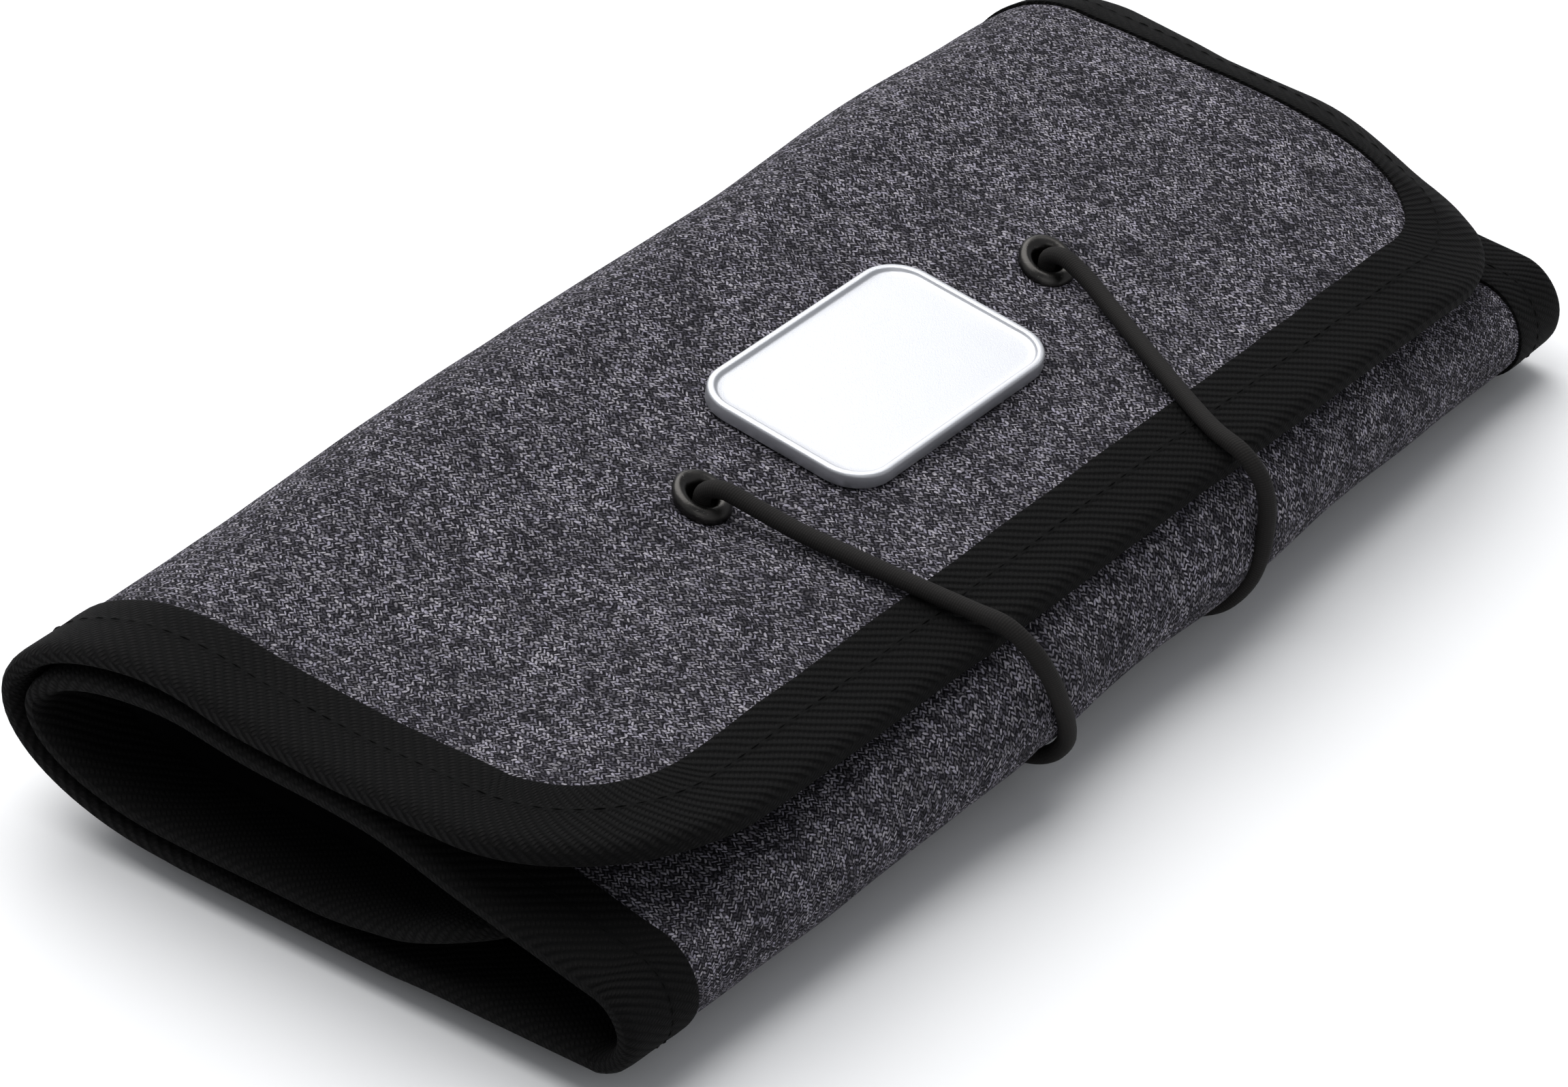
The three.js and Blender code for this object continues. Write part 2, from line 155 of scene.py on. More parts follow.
# ---- small helpers -------------------------------
def smooth_table(x, knots, values):
    """Cubic through the knots, with slopes that never overshoot."""
    knots, values = np.asarray(knots, float), np.asarray(values, float)
    step = np.diff(knots)
    rise = np.diff(values) / step
    slope = np.zeros(len(knots))
    slope[0], slope[-1] = rise[0], rise[-1]
    for i in range(1, len(knots) - 1):
        if rise[i - 1] * rise[i] > 0:
            slope[i] = 2 / (1 / rise[i - 1] + 1 / rise[i])
    i = np.clip(np.searchsorted(knots, x) - 1, 0, len(knots) - 2)
    t = (x - knots[i]) / step[i]
    a = (1 + 2 * t) * (1 - t) ** 2 * values[i]
    b = t * (1 - t) ** 2 * step[i] * slope[i]
    c = t * t * (3 - 2 * t) * values[i + 1]
    d = t * t * (t - 1) * step[i] * slope[i + 1]
    return a + b + c + d


def walk_length(points):
    """Distance walked along the path, at each of its points."""
    steps = np.linalg.norm(np.diff(points, axis=0), axis=1)
    return np.concatenate([[0], np.cumsum(steps)])


def resample(points, count):
    """The path again, as count evenly spaced points."""
    points = np.asarray(points, float)
    walked = walk_length(points)
    at = np.linspace(0, walked[-1], count)
    return np.stack([np.interp(at, walked, points[:, k]) for k in range(points.shape[1])], axis=1)


def arc(centre, reach, height, from_deg, to_deg, count=80):
    """Part of an ellipse in Y and Z, with the two half axes reach and height."""
    a = np.radians(np.linspace(from_deg, to_deg, count))
    return np.stack([centre[0] + reach * np.cos(a), centre[1] + height * np.sin(a)], axis=1)


def curve_z(knots, count=60):
    """A smooth curve in Y and Z through knots that run along Y."""
    knots = np.asarray(knots, float)
    y = np.linspace(knots[0, 0], knots[-1, 0], count)
    order = np.argsort(knots[:, 0])
    return np.stack([y, smooth_table(y, knots[order, 0], knots[order, 1])], axis=1)


# ---- the folded section at one X -----------------
def section(x):
    """Y and Z of the outer side at x, from the flap's front edge to the inner panel's free edge."""
    v = {name: float(smooth_table(x, STATIONS, row)) for name, row in SECTION.items()}
    back_half = (v["back_top"] - v["back_low"]) / 2
    back_centre = (v["back_y"], v["back_low"] + back_half)
    back_reach = v["back_reach"] - v["back_y"]
    front_r = (v["front_top"] - v["front_low"]) / 2
    front_centre = (v["front_y"], v["front_low"] + front_r)
    nest = v["nest"]

    def flap_z(y):
        return FLAP_TOP[1] - (FLAP_TOP[0] - y) * math.tan(FLAP_SLOPE)

    back = arc(back_centre, back_reach, back_half, 98, -90)
    flap = curve_z([
        (v["flap_edge"], flap_z(v["flap_edge"]) + v["droop_edge"]),
        (-30, flap_z(-30) + v["droop_front"]),
        (-5, flap_z(-5) + v["droop_centre"]),
        (12, flap_z(12) + v["droop_back"]),
        tuple(back[0]),
    ])
    front = arc(front_centre, front_r, front_r, -98, -262)
    lift = curve_z([(-14, v["back_low"]), (-22, v["back_low"] + 0.5), tuple(front[0])], 30)
    bottom = np.concatenate([[(v["back_y"], v["back_low"])], lift])
    inner_fold = arc(back_centre, back_reach - nest, back_half - nest, 98, -90)
    middle = curve_z([
        tuple(front[-1]),
        (-28, v["middle_front"]),
        (-8, v["middle_centre"]),
        (12, v["middle_back"]),
        tuple(inner_fold[0]),
    ])
    low = v["back_low"] + nest
    inner = curve_z([
        (v["back_y"], low),
        (2, low),
        (-14, low + 0.2 * v["free_rise"]),
        (-24, low + 0.8 + 0.5 * v["free_rise"]),
        (-42, low + 3.4 + v["free_rise"]),
    ])
    pieces = (flap, back, bottom, front, middle, inner_fold, inner)
    rows = [
        resample(piece, count * 3 + 1)[(0 if i == 0 else 1):]
        for i, ((_, _, count), piece) in enumerate(zip(STRETCHES, pieces))
    ]
    return np.concatenate(rows)


def wrinkle(x, s):
    """Soft unevenness of the cloth, none of it under the badge and the eyelets."""
    wide = noise.noise(Vector((x / 46, s / 38, 3.1)))
    fine = noise.noise(Vector((x / 17, s / 15, 8.7)))
    calm = min(1.0, max(0.0, (math.hypot(x / 62, (s - 52) / 30) - 0.9) / 0.6))
    if EDGES[2] < s < EDGES[3]:
        calm *= 0.4  # the bottom panel is pressed flat
    return (0.75 * wide + 0.22 * fine) * calm


def pressed(x, s):
    """Relief from the elastic and the eyelets: the flap's edge, the front fold, the pulled eyelets."""
    height = 0.0
    middle_of_fold = (EDGES[3] + EDGES[4]) / 2
    for leg_edge, leg_fold in ((-39.5, -31.0), (26.0, 27.5)):
        height -= 0.5 * bell(x - leg_edge, 5) * bell(s - 2, 9)
        proud = 1.7 * bell(x - leg_fold, 24) - 0.55 * bell(x - leg_fold, 2.6)
        height += proud * bell(s - middle_of_fold, 15)
    for eyelet_x, pull_x in EYELET_PULLS:
        dx, ds = x - eyelet_x, s - FITTING_S
        forward = pull_x * dx - math.sqrt(1 - pull_x ** 2) * ds
        height -= EYELET_TILT * forward * bell(math.hypot(dx, ds), 9)
    return height


def bell(distance, width):
    """1 at no distance, and about a third at width."""
    return math.exp(-(distance / width) ** 2)


def tucked(x, s):
    """How far the flap's right end is drawn in, where it curls down."""
    share = min(1.0, max(0.0, (x - 110) / 23))
    return 1.6 * share * share * min(1.0, max(0.0, (130 - s) / 60))


TABLE_X = np.linspace(-HALF, HALF, 134)
TABLE_S = np.concatenate([
    np.linspace(EDGES[i], EDGES[i + 1], count * 3 + 1)[(0 if i == 0 else 1):]
    for i, (_, _, count) in enumerate(STRETCHES)
])
PLACES = np.zeros((len(TABLE_X), len(TABLE_S), 3))
for column, station in enumerate(TABLE_X):
    PLACES[column, :, 0] = [station - tucked(station, s) for s in TABLE_S]
    PLACES[column, :, 1:] = section(station)


def table_normals():
    """The outward direction at each point of PLACES."""
    across = np.gradient(PLACES, TABLE_X, axis=0)
    along = np.gradient(PLACES, TABLE_S, axis=1)
    n = np.cross(across, along)
    return n / np.linalg.norm(n, axis=2, keepdims=True)


NORMALS = table_normals()
RELIEF = np.array([[wrinkle(x, s) + pressed(x, s) for s in TABLE_S] for x in TABLE_X])
PLACES += NORMALS * RELIEF[:, :, None]
NORMALS = table_normals()


def place(x, s, height=0.0):
    """Flat point (x, s), raised by height off the outer side, on the folded blanket, in mm."""
    x, s, height = np.broadcast_arrays(*(np.asarray(v, float) for v in (x, s, height)))
    i = np.clip(np.searchsorted(TABLE_X, x) - 1, 0, len(TABLE_X) - 2)
    j = np.clip(np.searchsorted(TABLE_S, s) - 1, 0, len(TABLE_S) - 2)
    a = ((x - TABLE_X[i]) / (TABLE_X[i + 1] - TABLE_X[i]))[..., None]
    b = ((s - TABLE_S[j]) / (TABLE_S[j + 1] - TABLE_S[j]))[..., None]

    def mix(table):
        low = table[i, j] * (1 - a) + table[i + 1, j] * a
        high = table[i, j + 1] * (1 - a) + table[i + 1, j + 1] * a
        return low * (1 - b) + high * b

    n = mix(NORMALS)
    n = n / np.linalg.norm(n, axis=-1, keepdims=True)
    return mix(PLACES) + n * height[..., None]


# ---- meshes --------------------------------------
def make_object(name, vertices_mm, faces, uv=None, material=None):
    """A smooth-shaded mesh, with a UV in millimetres for each vertex."""
    mesh = bpy.data.meshes.new(name)
    mesh.from_pydata((np.asarray(vertices_mm, float) * MM).tolist(), [], faces)
    mesh.validate()
    if uv is not None:
        layer = mesh.uv_layers.new(name="UVMap")
        loops = np.zeros(len(mesh.loops), np.int32)
        mesh.loops.foreach_get("vertex_index", loops)
        layer.data.foreach_set("uv", (np.asarray(uv, float)[loops] * MM).ravel())
    mesh.polygons.foreach_set("use_smooth", [True] * len(mesh.polygons))
    obj = bpy.data.objects.new(name, mesh)
    bpy.context.scene.collection.objects.link(obj)
    if material is not None:
        mesh.materials.append(material)
    return obj


def sweep_faces(rings, per_ring, closed_ring, caps):
    """Faces of a strip of rings, each with per_ring points in order."""
    faces = []
    last = per_ring if closed_ring else per_ring - 1
    for r in range(rings - 1):
        for k in range(last):
            a = r * per_ring + k
            b = r * per_ring + (k + 1) % per_ring
            faces.append((a, b, b + per_ring, a + per_ring))
    if caps:
        faces.append(tuple(range(per_ring))[::-1])
        faces.append(tuple((rings - 1) * per_ring + k for k in range(per_ring)))
    return faces


def half_width(s, inset=0.0):
    """Half width of the flat blanket at s, with its four rounded corners."""
    s = np.asarray(s, float)
    half = np.full(s.shape, HALF - inset)
    for corner, distance in ((FLAP_CORNER, s), (INNER_CORNER, FLAT_LENGTH - s)):
        r = corner - inset
        d = np.clip(distance - inset, 0, r)
        half = np.minimum(half, HALF - corner + np.sqrt(np.maximum(r * r - (r - d) ** 2, 0)))
    return half


def sheet_depth(s):
    """Depth of the lining's inner face: the flap holds a board, so it is thicker there."""
    return np.interp(s, [80, 98], [FLAP_SHEET, SHEET])


def cloth(name, s_from, s_to, depths, inset, material, x_range=None, columns=100):
    """A closed sheet from s_from to s_to, between two depths under the outer side.

    A depth is a number, or a function of s. x_range is for a strip narrower than the blanket.
    """
    s_from, s_to = max(s_from, inset), min(s_to, FLAT_LENGTH - inset)
    rows = [s for s in row_places() if s_from < s < s_to]
    rows = np.array([s_from, *rows, s_to])
    share = np.linspace(-1, 1, columns)
    s = np.repeat(rows[:, None], columns, axis=1)
    if x_range is None:
        x = half_width(rows, inset)[:, None] * share[None, :]
    else:
        middle, half = sum(x_range) / 2, (x_range[1] - x_range[0]) / 2
        x = np.repeat(middle + half * share[None, :], len(rows), axis=0)
    upper, lower = (
        place(x, s, -(depth(s) if callable(depth) else depth)).reshape(-1, 3) for depth in depths
    )
    faces = sheet_faces(len(rows), columns)
    flat = np.stack([x.ravel(), s.ravel()], axis=1)
    return make_object(name, np.concatenate([upper, lower]), faces, np.tile(flat, (2, 1)), material)


def sheet_faces(rows, columns):
    """Faces of a closed sheet: a grid of points, the same grid behind it, and the rim."""
    count = rows * columns
    faces = []
    for r in range(rows - 1):
        for k in range(columns - 1):
            a = r * columns + k
            quad = (a, a + 1, a + columns + 1, a + columns)
            faces += [quad, tuple(i + count for i in reversed(quad))]
    rim = [r * columns for r in range(rows)]
    rim += [(rows - 1) * columns + k for k in range(1, columns)]
    rim += [r * columns + columns - 1 for r in range(rows - 2, -1, -1)]
    rim += list(range(columns - 2, 0, -1))
    return faces + [(a, b, b + count, a + count) for a, b in zip(rim, rim[1:] + rim[:1])]


def row_places():
    """Rows of the cloth: close together in the folds and near a rounded edge."""
    rows = []
    for i, (_, _, count) in enumerate(STRETCHES):
        rows += list(np.linspace(EDGES[i], EDGES[i + 1], count + 1)[1:])
    rows += [1.6, 2.2, 3.2, 5.0, FLAT_LENGTH - 5.0, FLAT_LENGTH - 3.2, FLAT_LENGTH - 2.2]
    return sorted(set(np.round(rows, 3)))


def edge_walk(end, s_start, step=2.0):
    """Flat points and inward directions up the right side, round one end and down the left side.

    end is 0 for the flap's front edge, or FLAT_LENGTH for the inner panel's free edge.
    """
    sign = 1 if end == 0 else -1
    corner = FLAP_CORNER if end == 0 else INNER_CORNER
    near = end + sign * corner
    turns = int(corner * math.pi / 2 / step)
    right = side_walk(1, s_start, near)[:-1]
    bend = [
        (HALF - corner + corner * math.cos(a), near - sign * corner * math.sin(a),
         -math.cos(a), sign * math.sin(a))
        for a in np.linspace(0, math.pi / 2, turns)
    ]
    front = [(x, end, 0, sign) for x in np.linspace(HALF - corner, corner - HALF, 98)[1:-1]]
    mirrored = [(-x, s, -inward_x, inward_s) for x, s, inward_x, inward_s in reversed(bend)]
    left = side_walk(-1, near, s_start)[1:]
    return np.concatenate([right, bend, front, mirrored, left])


def side_walk(side, s_from, s_to, step=1.8):
    """The same along one straight side: 1 for the right, -1 for the left."""
    count = int(abs(s_to - s_from) / step) + 2
    return np.array([(side * HALF, s, -side, 0.0) for s in np.linspace(s_from, s_to, count)])


def tape_profile(low):
    """The folded tape's section: reach from the edge inwards, and height off the outer side."""
    t = TAPE_THICK
    outside = [
        (TAPE, 0.08), (TAPE, t - 0.1), (TAPE - 0.5, t), (13, t + 0.05), (11, t), (9, t), (7, t),
        (5, t), (3, t - 0.03), (1.6, t - 0.15), (0.7, t - 0.5), (0.1, t - 1.1), (0, low / 2),
        (0.1, low - t + 1.1), (0.7, low - t + 0.5), (1.6, low - t + 0.15), (3, low - t), (7, low - t),
        (11, low - t), (TAPE - 0.5, low - t), (TAPE, low - t + 0.1), (TAPE, low - 0.08),
    ]
    inside = [
        (11, low - 0.05), (5, low - 0.05), (2, low + 0.1), (1, low / 2),
        (2, -0.1), (5, 0.05), (11, 0.05),
    ]
    return np.array(outside + inside)


def tape(name, walk, material):
    """Binding tape: one folded strip swept along the edge, with its edge a little uneven."""
    walked = walk_length(walk[:, :2])
    rings, coords = [], []
    for (x, s, inward_x, inward_s), distance in zip(walk, walked):
        profile = tape_profile(-float(sheet_depth(s)))
        sway = 0.3 * noise.noise(Vector((distance / 13, 0.0, 5.0)))
        puff = 0.14 * noise.noise(Vector((distance / 9, 2.0, 0.0)))
        reach = profile[:, 0] + np.where(profile[:, 0] > 10, sway, 0)
        height = profile[:, 1] + np.where(profile[:, 1] > 0.3, puff, 0)
        rings.append(place(x + inward_x * reach, s + inward_s * reach, height))
        coords += [(distance, around) for around in walk_length(profile)]
    faces = sweep_faces(len(walk), len(profile), True, True)
    return make_object(name, np.concatenate(rings), faces, coords, material)


def stitches(name, walk, inward, height, material, pitch=3.3, length=2.6, radius=0.14):
    """A row of short raised stitches, at a distance inside the bound edge."""
    flat = walk[:, :2] + walk[:, 2:] * inward
    walked = walk_length(flat)
    vertices, faces = [], []
    ring = 6
    for start in np.arange(1.0, walked[-1] - length - 0.5, pitch):
        at = start + length * np.array([0.0, 0.18, 0.5, 0.82, 1.0])
        thick = radius * np.array([0.35, 0.9, 1.0, 0.9, 0.35])
        lift = np.array([-0.25, 0.0, 0.12, 0.0, -0.25])
        x = np.interp(at, walked, flat[:, 0])
        s = np.interp(at, walked, flat[:, 1])
        spine = place(x, s, height + lift)
        up = place(x, s, height + lift + 1) - spine
        along = np.gradient(spine, axis=0)
        side = np.cross(along, up)
        side = side / np.linalg.norm(side, axis=1, keepdims=True)
        first = len(vertices)
        for p, n, w, r in zip(spine, up, side, thick):
            for k in range(ring):
                a = 2 * math.pi * k / ring
                vertices.append(p + (w * math.cos(a) + n * math.sin(a)) * r)
        faces += [tuple(first + i for i in face) for face in sweep_faces(5, ring, True, True)]
    return make_object(name, vertices, faces, None, material)


def tube(name, points_mm, radius, sides, material):
    """A round tube along a smooth path, with UVs along and round it."""
    path = np.asarray(points_mm, float)
    walked = walk_length(path)
    along = np.gradient(path, axis=0)
    along /= np.linalg.norm(along, axis=1, keepdims=True)
    side = np.array([1.0, 0.0, 0.0])
    vertices, coords = [], []
    for p, t, distance in zip(path, along, walked):
        side = side - t * (side @ t)
        side /= np.linalg.norm(side)
        other = np.cross(t, side)
        for k in range(sides):
            a = 2 * math.pi * k / sides
            vertices.append(p + (side * math.cos(a) + other * math.sin(a)) * radius)
            coords.append((distance, 2 * math.pi * radius * k / sides))
    return make_object(name, vertices, sweep_faces(len(path), sides, True, True), coords, material)


def smooth_path(points, per_span=5):
    """A centripetal Catmull-Rom curve through the points."""
    p = [np.asarray(q, float) for q in points]
    p = [2 * p[0] - p[1], *p, 2 * p[-1] - p[-2]]
    result = []
    for quad in zip(p, p[1:], p[2:], p[3:]):
        gaps = [math.sqrt(np.linalg.norm(b - a)) for a, b in zip(quad, quad[1:])]
        knots = np.concatenate([[0], np.cumsum(gaps)])
        for t in np.linspace(knots[1], knots[2], per_span, endpoint=False):
            first = [lerp_at(quad[k], quad[k + 1], knots[k], knots[k + 1], t) for k in range(3)]
            second = [lerp_at(first[k], first[k + 1], knots[k], knots[k + 2], t) for k in range(2)]
            result.append(lerp_at(second[0], second[1], knots[1], knots[2], t))
    result.append(p[-2])
    return np.array(result)


def lerp_at(a, b, from_t, to_t, t):
    """The point at t on the line from a, at from_t, to b, at to_t."""
    return a + (b - a) * (t - from_t) / (to_t - from_t)


def cut_holes(obj, radius, depth=20):
    """Round holes through a flap piece at the eyelets, along the flap's own Z."""
    for x, y in EYELETS:
        bpy.ops.mesh.primitive_cylinder_add(vertices=48, radius=radius * MM, depth=depth * MM)
        cutter = bpy.context.object
        cutter.matrix_world = FLAP_FRAME @ Matrix.Translation(Vector((x, y, 0)) * MM)
        cut = obj.modifiers.new("hole", "BOOLEAN")
        cut.operation = "DIFFERENCE"
        cut.solver = "EXACT"
        cut.object = cutter
        bpy.context.view_layer.objects.active = obj
        bpy.ops.object.modifier_apply(modifier=cut.name)
        bpy.data.objects.remove(cutter)


def lathe(name, profile, material, segments=72):
    """A closed ring turned round Z, from (radius, height) points in order."""
    vertices, faces = [], []
    for k in range(segments):
        a = 2 * math.pi * k / segments
        vertices += [(r * math.cos(a), r * math.sin(a), z) for r, z in profile]
    count = len(profile)
    for k in range(segments):
        here, there = k * count, (k + 1) % segments * count
        for i in range(count):
            j = (i + 1) % count
            faces.append((here + i, there + i, there + j, here + j))
    return make_object(name, vertices, faces, None, material)


def rounded_outline(dx, dy, corner, per_corner=14):
    """Points round a rectangle with round corners, centred on the origin."""
    points = []
    for turn, (sx, sy) in enumerate(((1, 1), (-1, 1), (-1, -1), (1, -1))):
        for a in np.linspace(turn * 90, turn * 90 + 90, per_corner):
            a = math.radians(a)
            points.append((
                sx * (dx / 2 - corner) + corner * math.cos(a),
                sy * (dy / 2 - corner) + corner * math.sin(a),
            ))
    return points


def tray(name, dx, dy, corner, profile, material):
    """A plate built of nested outlines: (inset, height) from the underside out and up to the recess."""
    rings = []
    for inset, z in profile:
        outline = rounded_outline(dx - 2 * inset, dy - 2 * inset, max(corner - inset, 0.4))
        rings += [(x, y, z) for x, y in outline]
    count = len(rings) // len(profile)
    return make_object(name, rings, sweep_faces(len(profile), count, True, True), None, material)


def soften(obj, angle_deg=35):
    """Smooth shading everywhere except over sharp edges."""
    obj.data.set_sharp_from_angle(angle=math.radians(angle_deg))
    return obj


def on_flap(obj, x, y, z=0.0):
    """Moves a piece drawn round the origin to its place on the flap, with the move in its mesh."""
    obj.data.transform(FLAP_FRAME @ Matrix.Translation(Vector((x, y, z)) * MM))
    return obj


# ---- materials -----------------------------------
def srgb(red, green, blue):
    """A colour given as 0 to 255, as Blender's linear RGBA."""
    def linear(c):
        c /= 255
        return c / 12.92 if c <= 0.04045 else ((c + 0.055) / 1.055) ** 2.4
    return (linear(red), linear(green), linear(blue), 1.0)


class Finish:
    """One material's node tree, built by short calls. Lengths in it are millimetres."""

    def __init__(self, name, metallic=0.0, roughness=0.5, **shader):
        self.material = bpy.data.materials.new(name)
        self.material.use_nodes = True
        self.tree = self.material.node_tree
        self.shader = self.tree.nodes["Principled BSDF"]
        self.shader.inputs["Metallic"].default_value = metallic
        self.shader.inputs["Roughness"].default_value = roughness
        for socket, value in shader.items():
            self.shader.inputs[socket.replace("_", " ")].default_value = value

    def node(self, kind, **settings):
        made = self.tree.nodes.new("ShaderNode" + kind)
        for key, value in settings.items():
            setattr(made, key, value)
        return made

    def feed(self, socket, value):
        if isinstance(value, bpy.types.NodeSocket):
            self.tree.links.new(value, socket)
        else:
            socket.default_value = value

    def math(self, operation, *values, clamp=False):
        made = self.node("Math", operation=operation, use_clamp=clamp)
        for socket, value in zip(made.inputs, values):
            self.feed(socket, value)
        return made.outputs[0]

    def ramp(self, value, low, high, to_low=0.0, to_high=1.0):
        """A smooth step from to_low at low to to_high at high."""
        made = self.node("MapRange", interpolation_type="SMOOTHSTEP")
        for socket, given in zip(made.inputs, (value, low, high, to_low, to_high)):
            self.feed(socket, given)
        return made.outputs[0]

    def mix(self, share, first, second):
        made = self.node("Mix", data_type="RGBA")
        for index, value in ((0, share), (6, first), (7, second)):
            self.feed(made.inputs[index], value)
        return made.outputs[2]

    def position(self, kind="Object"):
        """Place on the object, or on the UV map, in millimetres."""
        scaled = self.node("VectorMath", operation="SCALE")
        self.feed(scaled.inputs[0], self.node("TexCoord").outputs[kind])
        scaled.inputs["Scale"].default_value = 1000
        return scaled.outputs[0]

    def flat(self):
        """The two UV lengths in millimetres, and them both as a vector."""
        place_mm = self.position("UV")
        split = self.node("SeparateXYZ")
        self.feed(split.inputs[0], place_mm)
        return split.outputs[0], split.outputs[1], place_mm

    def times(self, a, b, clamp=False):
        return self.math("MULTIPLY", a, b, clamp=clamp)

    def plus(self, a, b):
        return self.math("ADD", a, b)

    def wave(self, value, period=1.0, operation="SINE"):
        """A wave from 0 to 1 along value."""
        turned = self.math(operation, self.times(value, 2 * math.pi / period))
        return self.plus(self.times(turned, 0.5), 0.5)

    def centred(self, value, size):
        """A value from 0 to 1, as a signed shift of up to half of size."""
        return self.times(self.math("SUBTRACT", value, 0.5), size)

    def vector(self, x, y, z=0.0):
        made = self.node("CombineXYZ")
        for socket, value in zip(made.inputs, (x, y, z)):
            self.feed(socket, value)
        return made.outputs[0]

    def stretched(self, vector, x, y, z):
        made = self.node("VectorMath", operation="MULTIPLY")
        self.feed(made.inputs[0], vector)
        made.inputs[1].default_value = (x, y, z)
        return made.outputs[0]

    def noise(self, vector, size, detail=2.0, roughness=0.5):
        """Noise whose features are about size mm across, from 0 to 1."""
        made = self.node("TexNoise")
        self.feed(made.inputs["Vector"], vector)
        made.inputs["Scale"].default_value = 1 / size
        made.inputs["Detail"].default_value = detail
        made.inputs["Roughness"].default_value = roughness
        return made.outputs[0]

    def random(self, x, y, seed):
        """One random number for each pair of whole numbers."""
        made = self.node("TexWhiteNoise", noise_dimensions="3D")
        self.feed(made.inputs["Vector"], self.vector(x, y, seed))
        return made.outputs[0]

    def scratches(self, vector, pitch=0.6):
        """Thin straight scratches in a few directions, 1 in a scratch."""
        total = None
        for turn in (0.4, 1.9, 2.7):
            made = self.node("VectorRotate", rotation_type="Z_AXIS")
            self.feed(made.inputs["Vector"], vector)
            made.inputs["Angle"].default_value = turn
            lines = self.noise(self.stretched(made.outputs[0], 1, 0.03, 1), pitch, 3)
            thin = self.ramp(lines, 0.66, 0.72)
            total = thin if total is None else self.math("MAXIMUM", total, thin)
        return total

    def colour(self, value):
        self.feed(self.shader.inputs["Base Color"], value)

    def roughness(self, value):
        self.feed(self.shader.inputs["Roughness"], value)

    def bump(self, height, distance):
        """Relief of the surface: height from 0 to 1, distance in mm."""
        made = self.node("Bump")
        made.inputs["Strength"].default_value = 1.0
        made.inputs["Distance"].default_value = distance * MM
        self.feed(made.inputs["Height"], height)
        self.feed(self.shader.inputs["Normal"], made.outputs[0])


GROUND_DARK, GROUND_PALE = (10, 9, 12), (25, 24, 29)
YARN_COOL, YARN_WARM = (150, 146, 160), (164, 160, 166)
TWILL_PITCH = 1.65  # across the ribs


def woven_heather():
    """Heather cloth: short floats of pale yarn, leaning left and right by turns, on a dark ground."""
    f = Finish("woven_heather", roughness=0.95, Specular_IOR_Level=0.1)
    x, s, flat = f.flat()
    x = f.plus(x, f.centred(f.noise(flat, 7, 3), 2.0))
    s = f.plus(s, f.centred(f.noise(f.stretched(flat, -1, 1, 1), 5, 3), 1.6))
    column_width, row_height = 0.7, 0.86
    across = f.math("DIVIDE", x, column_width)
    column = f.math("FLOOR", across)
    odd = f.times(f.math("FRACT", f.times(column, 0.5)), 2.0)
    along = f.plus(f.math("DIVIDE", s, row_height), f.times(odd, 0.5))
    along = f.plus(along, f.times(f.random(column, 0.0, 4.0), 0.5))
    row = f.math("FLOOR", along)
    shift = f.centred(f.random(column, row, 7.0), 0.34)
    a = f.centred(f.math("FRACT", across), column_width)
    b = f.plus(f.centred(f.math("FRACT", along), row_height), shift)
    side = f.centred(odd, 2.0)
    lean = f.ramp(f.random(row, column, 9.0), 0.0, 1.0, 0.3, 0.95)
    a = f.plus(a, f.times(f.times(b, side), lean))
    wide = f.math("DIVIDE", a, f.ramp(f.random(column, row, 5.0), 0.0, 1.0, 0.19, 0.3))
    tall = f.math("DIVIDE", b, f.ramp(f.random(column, row, 6.0), 0.0, 1.0, 0.5, 0.72))
    ring = f.plus(f.times(wide, wide), f.times(tall, tall))
    yarn = f.ramp(ring, 1.9, -0.5)
    patch = f.plus(f.noise(flat, 2.6, 2, 0.6), f.centred(f.noise(flat, 11, 3), 0.8))
    bright = f.times(f.ramp(f.random(column, row, 1.0), 0.0, 1.0, 0.12, 1.15),
                     f.ramp(patch, 0.25, 0.8, 0.5, 1.2))
    fibre = f.ramp(f.noise(flat, 0.3, 3, 0.75), 0.3, 0.7, 0.55, 1.3)
    shade = f.times(f.times(yarn, bright), fibre, clamp=True)
    ground = f.mix(f.noise(flat, 0.6, 3), srgb(*GROUND_DARK), srgb(*GROUND_PALE))
    tint = f.mix(f.random(row, column, 2.0), srgb(*YARN_COOL), srgb(*YARN_WARM))
    f.colour(f.mix(shade, ground, tint))
    height = f.plus(f.times(yarn, 0.8), f.times(f.noise(flat, 0.2, 2), 0.3))
    f.bump(height, 0.22)
    return f.material


